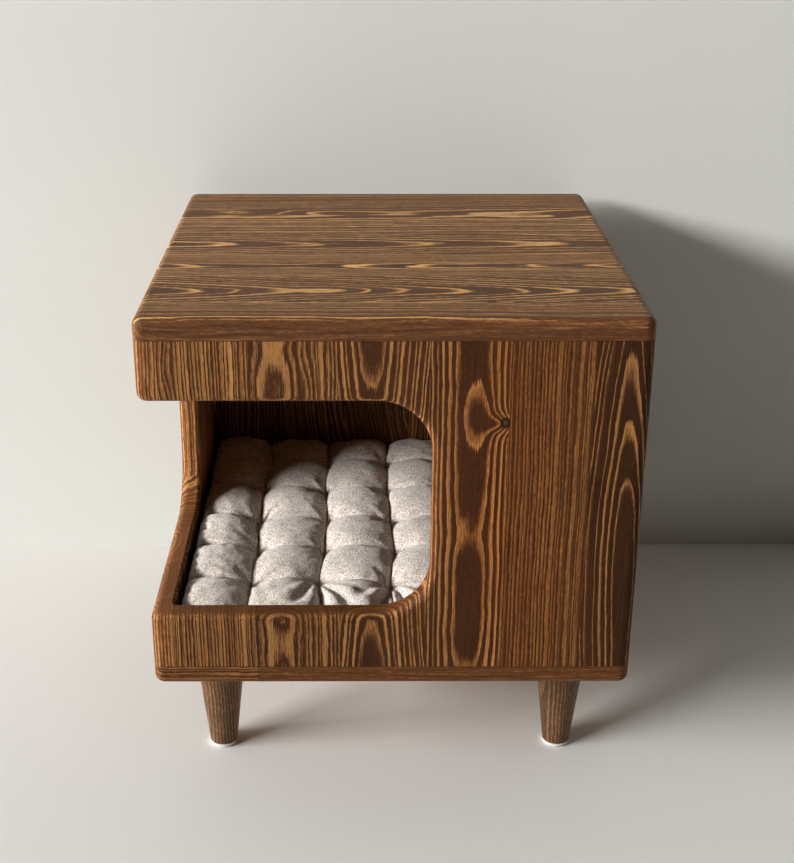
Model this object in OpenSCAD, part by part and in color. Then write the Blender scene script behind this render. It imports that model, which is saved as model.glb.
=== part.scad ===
// Pet house on legs: a square cabinet of solid boards with an entrance that wraps round its
// front left corner, four turned legs on glides, and a loose tufted cushion inside.
// The origin is on the floor under the middle of the cabinet. +X is right, +Y is back, +Z is up.

/* [Cabinet] */
// Width and depth of the cabinet
side = 450; // [420:5:600]
// Height of the cabinet, from the underside of its bottom board to its top surface
body_h = 366; // [340:2:460]
// Thickness of every board
board = 20; // [18:1:24]
// Radius of the four upright outer corners
corner_r = 10; // [9:1:14]
// Radius of the round-over along the outer edges of the top and bottom boards
edge_r = 8; // [3:1:8]

/* [Entrance] */
// How far the entrance reaches from the front left corner, along the front and along the side
entrance_reach = 260; // [200:5:300]
// Height of the entrance's lower edge above the underside of the bottom board
rail_h = 76.5; // [60:0.5:95]
// Clear height of the entrance
entrance_h = 212; // [160:1:214]
// Radius of the entrance's two rounded inner corners
entrance_r = 50; // [20:1:75]
// Radius of the round-over along the entrance's outer edge
entrance_outer_r = 8; // [2:1:8]
// Radius of the round-over along the entrance's inner edge
entrance_inner_r = 3; // [1:1:5]

/* [Legs] */
// Length of a leg without its glide
leg_h = 100; // [60:5:180]
// Diameter of a leg where it meets the cabinet
leg_top_d = 49; // [40:1:55]
// Diameter of a leg at its foot
leg_foot_d = 27; // [22:1:35]
// Distance from a leg's axis to each of the two outer faces beside it
leg_inset = 57; // [45:1:90]
// Diameter of a glide
glide_d = 28; // [24:1:36]
// Thickness of a glide
glide_h = 4; // [3:0.5:6]

/* [Hardware] */
// Diameter of the hanger bolts that hold the legs
bolt_d = 8; // [6:1:8]
// Outer diameter of the threaded inserts in the bottom board
insert_d = 12; // [11:1:14]
// Diameter of the wooden dowels
dowel_d = 8; // [6:1:8]
// Length of the wooden dowels
dowel_l = 35; // [30:1:40]

/* [Cushion] */
// Thickness of the cushion at its crown
cushion_h = 54; // [40:1:55]
// Gap between the cushion and each wall
cushion_gap = 3; // [1:0.5:8]
// Tufts along each side of the square grid
tuft_count = 5; // [3:1:6]

/* [Hidden] */
$fn = 96;

// Colours
STAINED_PINE = [0.40, 0.25, 0.15];
TURNED_WOOD = [0.47, 0.31, 0.20];
PALE_BEECH = [0.80, 0.66, 0.48];
ZINC = [0.72, 0.73, 0.75];
WHITE_PLASTIC = [0.92, 0.92, 0.90];
LINEN = [0.70, 0.65, 0.60];
THREAD = [0.60, 0.55, 0.50];
FIBRE = [0.93, 0.92, 0.89];

// Heights above the floor
body_z = leg_h + glide_h;
wall_z = body_z + board;
wall_top_z = body_z + body_h - board;
entrance_z0 = body_z + rail_h;
entrance_z1 = entrance_z0 + entrance_h;

// Plan
half = side / 2;
inner = half - board;
wall_mid = half - board / 2;
jamb_x = -half + entrance_reach;
leg_at = half - leg_inset;

// How far a cutter runs on past the surface that it cuts
over = 1;

// Dowels: the short end is in the face of a board, and the long end in another board's edge
dowel_gap = 0.05;
dowel_end_gap = 0.5;
dowel_in_face = 12;
dowel_bevel = 1;
dowel_pitch = 155;
corner_dowel_pitch = 108;

// Hanger bolt, insert and glide nail
bolt_in_leg = 30;
bolt_in_insert = 13.5;
insert_h = 15;
fit_gap = 0.05;
nail_d = 2.4;
nail_l = 16;
nail_head_d = 8.4;
nail_head_h = 1.2;
nail_head_z = 0.5;

// Cushion
cushion_w = 2 * (inner - cushion_gap);
cushion_lift_gap = 0.3;
cushion_z = wall_z + cushion_lift_gap;
seam_h = cushion_h * 0.42;
cover_t = 1.5;
cushion_corner_r = 28;
cushion_top_r = 18;
cushion_bottom_r = 12;
tie_d = 2;
tie_gap = 0.2;
tie_bar_d = 2.4;
tie_bar_l = 7;
tuft_pitch = 70.5;

// ---------------------------------------------------------------- shared shapes

// A square corner between the axes, with its outer corner rounded to r
module round_corner_profile(w, h, r) {
    square([w - r, h]);
    square([w, h - r]);
    translate([w - r, h - r]) intersection() {
        circle(r);
        square(r);
    }
}

// A square slab that stands on z = 0, with upright corners of radius upright_r and its upper
// edges rounded to rim_r
module rounded_slab(width, height, upright_r, rim_r) {
    core = width / 2 - upright_r;
    translate([-core, -core, 0]) cube([2 * core, 2 * core, height]);
    for (turn = [0:90:270]) rotate(turn) {
        translate([core, core, 0])
            rotate_extrude(angle = 90) round_corner_profile(upright_r, height, rim_r);
        translate([core, core, 0]) rotate([90, 0, 0])
            linear_extrude(2 * core) round_corner_profile(upright_r, height, rim_r);
    }
}

// Section of what a round-over takes off a square edge at the origin of a board that fills
// the quadrant +x, +y
module waste_profile(r) {
    difference() {
        translate([-over, -over]) square(r + over);
        translate([r, r]) circle(r);
    }
}

// ---------------------------------------------------------------- boards

// One wall: an upright board along the left side, with the front left corner rounded. The
// four walls overlap in turn round the cabinet, each covering the end of the next.
module wall_blank() {
    translate([-half, -half, wall_z]) linear_extrude(wall_top_z - wall_z) {
        translate([corner_r, 0]) square([board - corner_r, side - board]);
        translate([0, corner_r]) square([corner_r, side - board - corner_r]);
        translate([corner_r, corner_r]) intersection() {
            circle(corner_r);
            translate([-corner_r, -corner_r]) square(corner_r);
        }
    }
}

// The opening in the front wall, from the corner to its rounded jamb
module entrance_hole() {
    reach = entrance_reach + over;
    translate([-half - over, -half + board + over, entrance_z0])
        rotate([90, 0, 0]) linear_extrude(board + 2 * over) {
            square([reach - entrance_r, entrance_h]);
            translate([0, entrance_r]) square([reach, entrance_h - 2 * entrance_r]);
            for (z = [entrance_r, entrance_h - entrance_r])
                translate([reach - entrance_r, z]) circle(entrance_r);
        }
}

// What a round-over of radius r takes off the opening's edge in the plane y = 0 of a wall
// that lies behind that plane, from x_start round the jamb and back
module entrance_edge_waste(r, x_start) {
    bend_x = jamb_x - entrance_r;
    for (side_z = [[entrance_z1, 0], [entrance_z0, 1]])
        translate([x_start, 0, side_z[0]]) mirror([0, 0, side_z[1]])
            rotate([90, 0, 90]) linear_extrude(bend_x - x_start) waste_profile(r);
    translate([jamb_x, 0, entrance_z0 + entrance_r])
        linear_extrude(entrance_h - 2 * entrance_r) waste_profile(r);
    for (bend = [[entrance_z1 - entrance_r, -90], [entrance_z0 + entrance_r, 0]])
        translate([bend_x, 0, bend[0]]) rotate([-90, 0, 0]) rotate(bend[1])
            rotate_extrude(angle = 90) translate([entrance_r, 0]) waste_profile(r);
}

// All that is cut from the front wall for the entrance
module front_entrance_waste() {
    entrance_hole();
    translate([0, -half, 0]) entrance_edge_waste(entrance_outer_r, -half + corner_r);
    translate([0, -inner, 0]) mirror([0, 1, 0]) entrance_edge_waste(entrance_inner_r, -inner);
}

// The entrance's outer round-over where it goes round the cabinet's upright corner
module entrance_corner_waste() {
    for (side_z = [[entrance_z1, 0], [entrance_z0, 1]])
        translate([-half + corner_r, -half + corner_r, side_z[0]]) mirror([0, 0, side_z[1]])
            rotate(180) rotate_extrude(angle = 90)
                translate([corner_r, 0]) mirror([1, 0]) waste_profile(entrance_outer_r);
}

// The whole entrance, which is the same along the front and along the left side
module entrance_waste() {
    front_entrance_waste();
    mirror([1, -1, 0]) front_entrance_waste();
    entrance_corner_waste();
}

module top_panel() color(STAINED_PINE) difference() {
    translate([0, 0, wall_top_z]) rounded_slab(side, board, corner_r, edge_r);
    dowels_at_top(dowel_gap);
}

module bottom_panel() color(STAINED_PINE) difference() {
    translate([0, 0, wall_z]) mirror([0, 0, 1]) rounded_slab(side, board, corner_r, edge_r);
    dowels_at_bottom(dowel_gap);
    for (turn = [0:90:270]) rotate(turn)
        translate([-leg_at, -leg_at, body_z - over])
            cylinder(h = insert_h + fit_gap + over, d = insert_d + 2 * fit_gap);
}

// A wall that is turned into its place clockwise, with the holes for all of its dowels
module wall(turn, has_entrance) {
    color(STAINED_PINE) difference() {
        rotate(-turn) wall_blank();
        if (has_entrance) entrance_waste();
        dowels_at_top(dowel_gap);
        dowels_at_bottom(dowel_gap);
        dowels_at_corner(turn, corner_dowel_heights(turn), dowel_gap);
        dowels_at_corner(turn + 90, corner_dowel_heights(turn + 90), dowel_gap);
    }
}

module left_panel() wall(0, true);
module back_panel() wall(90, false);
module right_panel() wall(180, false);
module front_panel() wall(270, true);

// ---------------------------------------------------------------- dowels

// A dowel that stands on z = 0. With a gap it is the dowel's hole instead.
module dowel(gap) {
    r = dowel_d / 2 + gap;
    end = gap > 0 ? dowel_end_gap : 0;
    bevel = gap > 0 ? 0 : dowel_bevel;
    rotate_extrude() polygon([
        [0, -end], [r - bevel, -end], [r, bevel - end],
        [r, dowel_l + end - bevel], [r - bevel, dowel_l + end], [0, dowel_l + end],
    ]);
}

// Three dowels along each wall's middle, up from height z
module wall_dowels(z, gap) {
    for (turn = [0:90:270], along = [-1:1])
        rotate(turn) translate([-wall_mid, along * dowel_pitch, z]) dowel(gap);
}

module dowels_at_top(gap) {
    wall_dowels(wall_top_z + dowel_in_face - dowel_l, gap);
}

module dowels_at_bottom(gap) {
    wall_dowels(wall_z - dowel_in_face, gap);
}

// Dowels stand in the lower rail and the upper band at the open corner, and all the way up
// the other three
function corner_dowel_heights(turn) =
    turn % 360 == 0
        ? [(wall_z + entrance_z0) / 2, (wall_top_z + entrance_z1) / 2]
        : [for (k = [-1:1]) (wall_z + wall_top_z) / 2 + k * corner_dowel_pitch];

// The dowels through one upright corner: the front left one, turned clockwise
module dowels_at_corner(turn, heights, gap) {
    rotate(-turn) for (z = heights)
        translate([-inner - dowel_in_face, -wall_mid, z]) rotate([0, 90, 0]) dowel(gap);
}

module corner_dowels(turn) {
    color(PALE_BEECH) dowels_at_corner(turn, corner_dowel_heights(turn), 0);
}

module dowels_top() color(PALE_BEECH) dowels_at_top(0);
module dowels_bottom() color(PALE_BEECH) dowels_at_bottom(0);
module dowels_front_left() corner_dowels(0);
module dowels_back_left() corner_dowels(90);
module dowels_back_right() corner_dowels(180);
module dowels_front_right() corner_dowels(270);

// ---------------------------------------------------------------- legs and their hardware

// Moves what is drawn round the leg axis to one of the four legs, anticlockwise from the
// front left one
module at_leg(index) {
    rotate(90 * index) translate([-leg_at, -leg_at, 0]) children();
}

module leg(index) {
    color(TURNED_WOOD) at_leg(index) difference() {
        translate([0, 0, glide_h]) cylinder(h = leg_h, d1 = leg_foot_d, d2 = leg_top_d);
        translate([0, 0, body_z - bolt_in_leg - over])
            cylinder(h = bolt_in_leg + 2 * over, d = bolt_d + 2 * fit_gap);
        translate([0, 0, glide_h - over])
            cylinder(h = nail_l + over, d = nail_d + 2 * fit_gap);
    }
}

// The outline of a row of thread ridges from height z0 to z1: each ridge goes out to r_out
// and back to r_in. The threads are drawn as closed rings.
function ridges(z0, z1, pitch, r_in, r_out) = [
    for (k = [0:floor((z1 - z0) / pitch) - 1], p = [[r_in, 0], [r_out, 0.5]])
        [p[0], z0 + (k + p[1]) * pitch],
];

// A stud with a pointed wood thread below the joint and a machine thread above it
module hanger_bolt(index) {
    r = bolt_d / 2;
    point = 4;
    collar = 4;
    color(ZINC) at_leg(index) translate([0, 0, body_z]) rotate_extrude() polygon(concat(
        [[0, -bolt_in_leg]],
        ridges(-bolt_in_leg + point, -collar, 3, r * 0.68, r),
        [[r * 0.9, -collar], [r * 0.9, 0]],
        ridges(0, bolt_in_insert - 1, 1.25, r * 0.82, r),
        [[r * 0.75, bolt_in_insert], [0, bolt_in_insert]]
    ));
}

// A threaded insert in the bottom board, with a screwdriver slot across its lower end
module insert(index) {
    r = insert_d / 2;
    bore_r = bolt_d / 2 + fit_gap;
    slot_w = 2;
    slot_h = 1.6;
    color(ZINC) at_leg(index) translate([0, 0, body_z]) difference() {
        rotate_extrude() polygon(concat(
            [[bore_r, 0], [r * 0.86, 0]],
            ridges(1.5, insert_h - 1.5, 2, r * 0.86, r),
            [[r * 0.86, insert_h], [bore_r, insert_h]]
        ));
        translate([-r - over, -slot_w / 2, -over]) cube([2 * (r + over), slot_w, slot_h + over]);
    }
}

// A disc with a rounded lower edge and a counterbore for the head of its nail
module glide(index) {
    rim_r = 2.5;
    color(WHITE_PLASTIC) at_leg(index) difference() {
        rotate_extrude() translate([0, glide_h]) mirror([0, 1])
            round_corner_profile(glide_d / 2, glide_h, rim_r);
        translate([0, 0, -over])
            cylinder(h = nail_head_z + nail_head_h + over, d = nail_head_d + 4 * fit_gap);
        cylinder(h = glide_h + over, d = nail_d + 2 * fit_gap);
    }
}

module glide_nail(index) {
    point = 2.5;
    shank_r = nail_d / 2;
    tip_z = glide_h + nail_l - over;
    color(ZINC) at_leg(index) rotate_extrude() polygon([
        [0, nail_head_z], [nail_head_d / 2, nail_head_z],
        [nail_head_d / 2, nail_head_z + nail_head_h], [shank_r, nail_head_z + nail_head_h],
        [shank_r, tip_z - point], [0, tip_z],
    ]);
}

module leg_front_left() leg(0);
module leg_front_right() leg(1);
module leg_back_right() leg(2);
module leg_back_left() leg(3);
module hanger_bolt_front_left() hanger_bolt(0);
module hanger_bolt_front_right() hanger_bolt(1);
module hanger_bolt_back_right() hanger_bolt(2);
module hanger_bolt_back_left() hanger_bolt(3);
module insert_front_left() insert(0);
module insert_front_right() insert(1);
module insert_back_right() insert(2);
module insert_back_left() insert(3);
module glide_front_left() glide(0);
module glide_front_right() glide(1);
module glide_back_right() glide(2);
module glide_back_left() glide(3);
module glide_nail_front_left() glide_nail(0);
module glide_nail_front_right() glide_nail(1);
module glide_nail_back_right() glide_nail(2);
module glide_nail_back_left() glide_nail(3);

// ---------------------------------------------------------------- cushion

// Moves what is drawn round a tuft's axis to every tuft
module at_tufts() {
    middle = (tuft_count - 1) / 2;
    for (column = [0:tuft_count - 1], row = [0:tuft_count - 1])
        translate([(column - middle) * tuft_pitch, (row - middle) * tuft_pitch, 0]) children();
}

module tie_holes() {
    at_tufts() translate([0, 0, cushion_z - over])
        cylinder(h = cushion_h + 2 * over, d = tie_d + 2 * tie_gap);
}

// One half of the cover, as it rises from the seam: a shell inset all round by inset
module cover_half(height, rim_r, inset) {
    rounded_slab(cushion_w - 2 * inset, height - inset, cushion_corner_r - inset, rim_r - inset);
}

module cushion_top_cover() color(LINEN) difference() {
    translate([0, 0, cushion_z + seam_h]) difference() {
        cover_half(cushion_h - seam_h, cushion_top_r, 0);
        cover_half(cushion_h - seam_h, cushion_top_r, cover_t);
    }
    tie_holes();
}

module cushion_bottom_cover() color(LINEN) difference() {
    translate([0, 0, cushion_z + seam_h]) mirror([0, 0, 1]) difference() {
        cover_half(seam_h, cushion_bottom_r, 0);
        cover_half(seam_h, cushion_bottom_r, cover_t);
    }
    tie_holes();
}

module cushion_filling() color(FIBRE) difference() {
    inset = cover_t + tie_gap;
    translate([0, 0, cushion_z + seam_h]) {
        cover_half(cushion_h - seam_h, cushion_top_r, inset);
        mirror([0, 0, 1]) cover_half(seam_h, cushion_bottom_r, inset);
    }
    tie_holes();
}

// A thread through the cushion at each tuft, with a short stitch across its upper end
module tufting_ties() color(THREAD) at_tufts() translate([0, 0, cushion_z]) {
    stitch_z = cushion_h + tie_bar_d / 2;
    cylinder(h = stitch_z, d = tie_d);
    translate([-tie_bar_l / 2, 0, stitch_z]) rotate([0, 90, 0])
        cylinder(h = tie_bar_l, d = tie_bar_d);
}

// ---------------------------------------------------------------- assembly

top_panel();
bottom_panel();
left_panel();
back_panel();
right_panel();
front_panel();
dowels_top();
dowels_bottom();
dowels_front_left();
dowels_back_left();
dowels_back_right();
dowels_front_right();
leg_front_left();
leg_front_right();
leg_back_right();
leg_back_left();
hanger_bolt_front_left();
hanger_bolt_front_right();
hanger_bolt_back_right();
hanger_bolt_back_left();
insert_front_left();
insert_front_right();
insert_back_right();
insert_back_left();
glide_front_left();
glide_front_right();
glide_back_right();
glide_back_left();
glide_nail_front_left();
glide_nail_front_right();
glide_nail_back_right();
glide_nail_back_left();
cushion_bottom_cover();
cushion_top_cover();
cushion_filling();
tufting_ties();
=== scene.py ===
import math
import random

import bpy
import numpy as np
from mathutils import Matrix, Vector


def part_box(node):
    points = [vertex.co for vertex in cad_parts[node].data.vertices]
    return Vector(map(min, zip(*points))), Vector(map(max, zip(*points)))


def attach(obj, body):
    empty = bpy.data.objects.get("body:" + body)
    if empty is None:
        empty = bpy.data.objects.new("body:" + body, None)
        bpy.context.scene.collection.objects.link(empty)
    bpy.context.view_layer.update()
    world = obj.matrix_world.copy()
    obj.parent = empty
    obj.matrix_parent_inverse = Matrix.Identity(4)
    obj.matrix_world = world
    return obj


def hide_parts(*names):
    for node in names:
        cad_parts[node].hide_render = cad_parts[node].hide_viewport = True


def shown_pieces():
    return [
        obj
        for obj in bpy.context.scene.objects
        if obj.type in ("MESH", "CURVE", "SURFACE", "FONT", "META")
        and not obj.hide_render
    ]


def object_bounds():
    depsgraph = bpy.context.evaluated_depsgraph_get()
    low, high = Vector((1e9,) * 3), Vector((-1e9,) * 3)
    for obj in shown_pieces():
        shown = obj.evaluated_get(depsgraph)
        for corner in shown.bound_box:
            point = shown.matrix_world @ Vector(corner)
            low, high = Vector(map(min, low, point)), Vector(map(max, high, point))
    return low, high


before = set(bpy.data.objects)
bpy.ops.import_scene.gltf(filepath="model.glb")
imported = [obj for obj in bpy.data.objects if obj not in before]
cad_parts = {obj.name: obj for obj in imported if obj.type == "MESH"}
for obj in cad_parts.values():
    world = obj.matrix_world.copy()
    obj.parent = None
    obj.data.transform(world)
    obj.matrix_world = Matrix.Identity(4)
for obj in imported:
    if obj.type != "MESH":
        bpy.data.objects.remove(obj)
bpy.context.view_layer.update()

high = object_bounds()[1]
scene = bpy.context.scene

# ---------------------------------------------------------------- places, from the frame

MM = 0.001
HALF = high.x
TOP_Z = high.z
top_low, top_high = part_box("top_panel")
floor_low, floor_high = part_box("bottom_panel")
BOARD = top_high.z - top_low.z
INNER = HALF - BOARD
BASE_Z = floor_low.z
CABIN_FLOOR_Z = floor_high.z
CABIN_TOP_Z = top_low.z
CORNERS = ("front_left", "front_right", "back_right", "back_left")


# ---------------------------------------------------------------- shader graph helper

class Graph:
    """The nodes of one material. Each method adds a node and returns its output."""

    def __init__(self, tree):
        self.tree = tree
        tree.nodes.clear()

    def node(self, kind, inputs=(), **settings):
        made = self.tree.nodes.new(kind)
        for name, value in settings.items():
            setattr(made, name, value)
        for key, value in dict(inputs).items():
            self.feed(made.inputs[key], value)
        return made

    def feed(self, socket, value):
        if isinstance(value, bpy.types.NodeSocket):
            self.tree.links.new(value, socket)
        elif socket.type == "RGBA" and len(value) == 3:
            socket.default_value = (*value, 1.0)
        else:
            socket.default_value = value

    def math(self, operation, a, b=0.0, c=0.0, clamp=False):
        made = self.node("ShaderNodeMath", operation=operation, use_clamp=clamp)
        for socket, value in zip(made.inputs, (a, b, c)):
            self.feed(socket, value)
        return made.outputs[0]

    def add(self, *terms):
        total = terms[0]
        for term in terms[1:]:
            total = self.math("ADD", total, term)
        return total

    def sub(self, a, b):
        return self.math("SUBTRACT", a, b)

    def mul(self, *factors):
        product = factors[0]
        for factor in factors[1:]:
            product = self.math("MULTIPLY", product, factor)
        return product

    def div(self, a, b):
        return self.math("DIVIDE", a, b)

    def largest(self, *values):
        most = values[0]
        for value in values[1:]:
            most = self.math("MAXIMUM", most, value)
        return most

    def combine(self, x, y, z):
        return self.node("ShaderNodeCombineXYZ", {0: x, 1: y, 2: z}).outputs[0]

    def split(self, vector):
        return self.node("ShaderNodeSeparateXYZ", {0: vector}).outputs

    def coordinates(self, kind="Object"):
        return self.node("ShaderNodeTexCoord").outputs[kind]

    def millimetres(self):
        """The place in the frame, in millimetres."""
        return self.scaled(self.coordinates(), 1 / MM)

    def noise(self, vector, scale=1.0, detail=2.0, roughness=0.5):
        made = self.node("ShaderNodeTexNoise", {
            "Vector": vector, "Scale": scale, "Detail": detail, "Roughness": roughness,
        })
        return made.outputs["Fac"]

    def noise_along(self, value, scale):
        """Smooth noise along one number."""
        made = self.node("ShaderNodeTexNoise", noise_dimensions="1D")
        for name, setting in (("W", value), ("Scale", scale), ("Detail", 0.0)):
            self.feed(made.inputs[name], setting)
        return made.outputs["Fac"]

    def chance(self, value):
        """A random number from 0 to 1 for each whole value."""
        made = self.node("ShaderNodeTexWhiteNoise", noise_dimensions="1D")
        self.feed(made.inputs["W"], value)
        return made.outputs["Value"]

    def remap(self, value, from_low, from_high, to_low=0.0, to_high=1.0, smooth=False):
        made = self.node("ShaderNodeMapRange", {
            "Value": value, "From Min": from_low, "From Max": from_high,
            "To Min": to_low, "To Max": to_high,
        }, interpolation_type="SMOOTHSTEP" if smooth else "LINEAR")
        return made.outputs[0]

    def near(self, value, place, reach):
        """1 at a place, smoothly down to 0 at a reach from it."""
        distance = self.math("ABSOLUTE", self.sub(value, place))
        return self.remap(distance, 0.0, reach, 1.0, 0.0, smooth=True)

    def hill(self, *offsets):
        """A Gaussian hill. Each offset is a (value, place, reach)."""
        total = 0.0
        for value, place, reach in offsets:
            total = self.add(total, self.math("POWER", self.div(self.sub(value, place), reach), 2.0))
        return self.math("POWER", math.exp(-1.0), total)

    def ramp(self, value, stops, interpolation="LINEAR"):
        made = self.node("ShaderNodeValToRGB", {0: value})
        band = made.color_ramp
        band.interpolation = interpolation
        while len(band.elements) < len(stops):
            band.elements.new(1.0)
        for element, (place, colour) in zip(band.elements, stops):
            element.position = place
            element.color = (*colour, 1.0)
        return made.outputs[0]

    def lookup(self, index, rows):
        """One output per column of a table of numbers, read at a whole-number index."""
        count = len(rows)
        place = self.div(self.add(index, 0.5), float(count))
        outputs = []
        columns = list(zip(*rows))
        for first in range(0, len(columns), 3):
            trio = columns[first:first + 3]
            lows = [min(column) for column in trio]
            spans = [max(max(column) - least, 1e-6) for column, least in zip(trio, lows)]
            stops = []
            for row in range(count):
                shares = [(column[row] - least) / span for column, least, span in zip(trio, lows, spans)]
                stops.append((row / count, (*shares, 0.0, 0.0)[:3]))
            found = self.split(self.ramp(place, stops, "CONSTANT"))
            for channel, (least, span) in enumerate(zip(lows, spans)):
                outputs.append(self.math("MULTIPLY_ADD", found[channel], span, least))
        return outputs

    def mix(self, factor, a, b, blend="MIX"):
        made = self.node("ShaderNodeMix", data_type="RGBA", blend_type=blend)
        self.feed(made.inputs[0], factor)
        self.feed(made.inputs[6], a)
        self.feed(made.inputs[7], b)
        return made.outputs[2]

    def tinted(self, colour, tint):
        return self.mix(1.0, colour, tint, "MULTIPLY")

    def scaled(self, vector, factor):
        made = self.node("ShaderNodeVectorMath", {0: vector}, operation="SCALE")
        self.feed(made.inputs["Scale"], factor)
        return made.outputs[0]

    def bump(self, height, strength, distance):
        return self.node("ShaderNodeBump", {
            "Height": height, "Strength": strength, "Distance": distance,
        }).outputs[0]

    def principled(self, colour, roughness, normal, **fixed):
        """A shader. What is in fixed is the same all over the surface."""
        made = self.node("ShaderNodeBsdfPrincipled", {
            "Base Color": colour, "Roughness": roughness, "Normal": normal,
        })
        for name, value in fixed.items():
            self.feed(made.inputs[name.replace("_", " ")], value)
        return made.outputs[0]

    def output(self, shader):
        self.node("ShaderNodeOutputMaterial", {"Surface": shader})

    def surface(self, colour, roughness, normal, **fixed):
        """A material of one shader."""
        self.output(self.principled(colour, roughness, normal, **fixed))


def new_material(name):
    material = bpy.data.materials.new(name)
    material.use_nodes = True
    return material, Graph(material.node_tree)


def dress(node_names, material):
    """Puts a material on CAD nodes that keep their own mesh."""
    for name in node_names:
        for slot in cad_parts[name].material_slots:
            slot.link = "OBJECT"
            slot.material = material


# ---------------------------------------------------------------- brushed and stained pine

EARLY_WOOD = (0.040, 0.0150, 0.0060)
MIDDLE_WOOD = (0.125, 0.047, 0.0150)
LATE_WOOD = (0.435, 0.207, 0.0700)
KNOT_WOOD = (0.020, 0.008, 0.004)
CLOUDED_WOOD = (0.095, 0.034, 0.0125)
SWING_LENGTH = 600.0        # millimetres from one slow rise of the rings to the next


class Lamella:
    """One of the strips that a board is glued from, in millimetres of the board's own axes.

    start is where it begins across the board, and heart is where the tree's heart lies across
    it. depth is how far behind the face the heart is: a small one draws sharp V shapes. pitch is
    the width of a growth ring, taper is how fast the rings climb along the grain, and swing
    and turn are a slow rise of the rings and where along the grain it is highest. gold is the
    share of a ring that is pale late wood, and ragged is how far its edge runs out along the
    fibres, in rings.
    """

    def __init__(self, start, heart, depth, pitch, taper=0.0, swing=0.0, turn=0.0, phase=0.0,
                 lean=0.0, tone=1.0, contrast=1.0, gold=0.45, ragged=0.6):
        self.start = start
        self.row = (heart, depth, pitch, taper, swing, turn, phase, lean, tone, contrast, gold, ragged)


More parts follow.
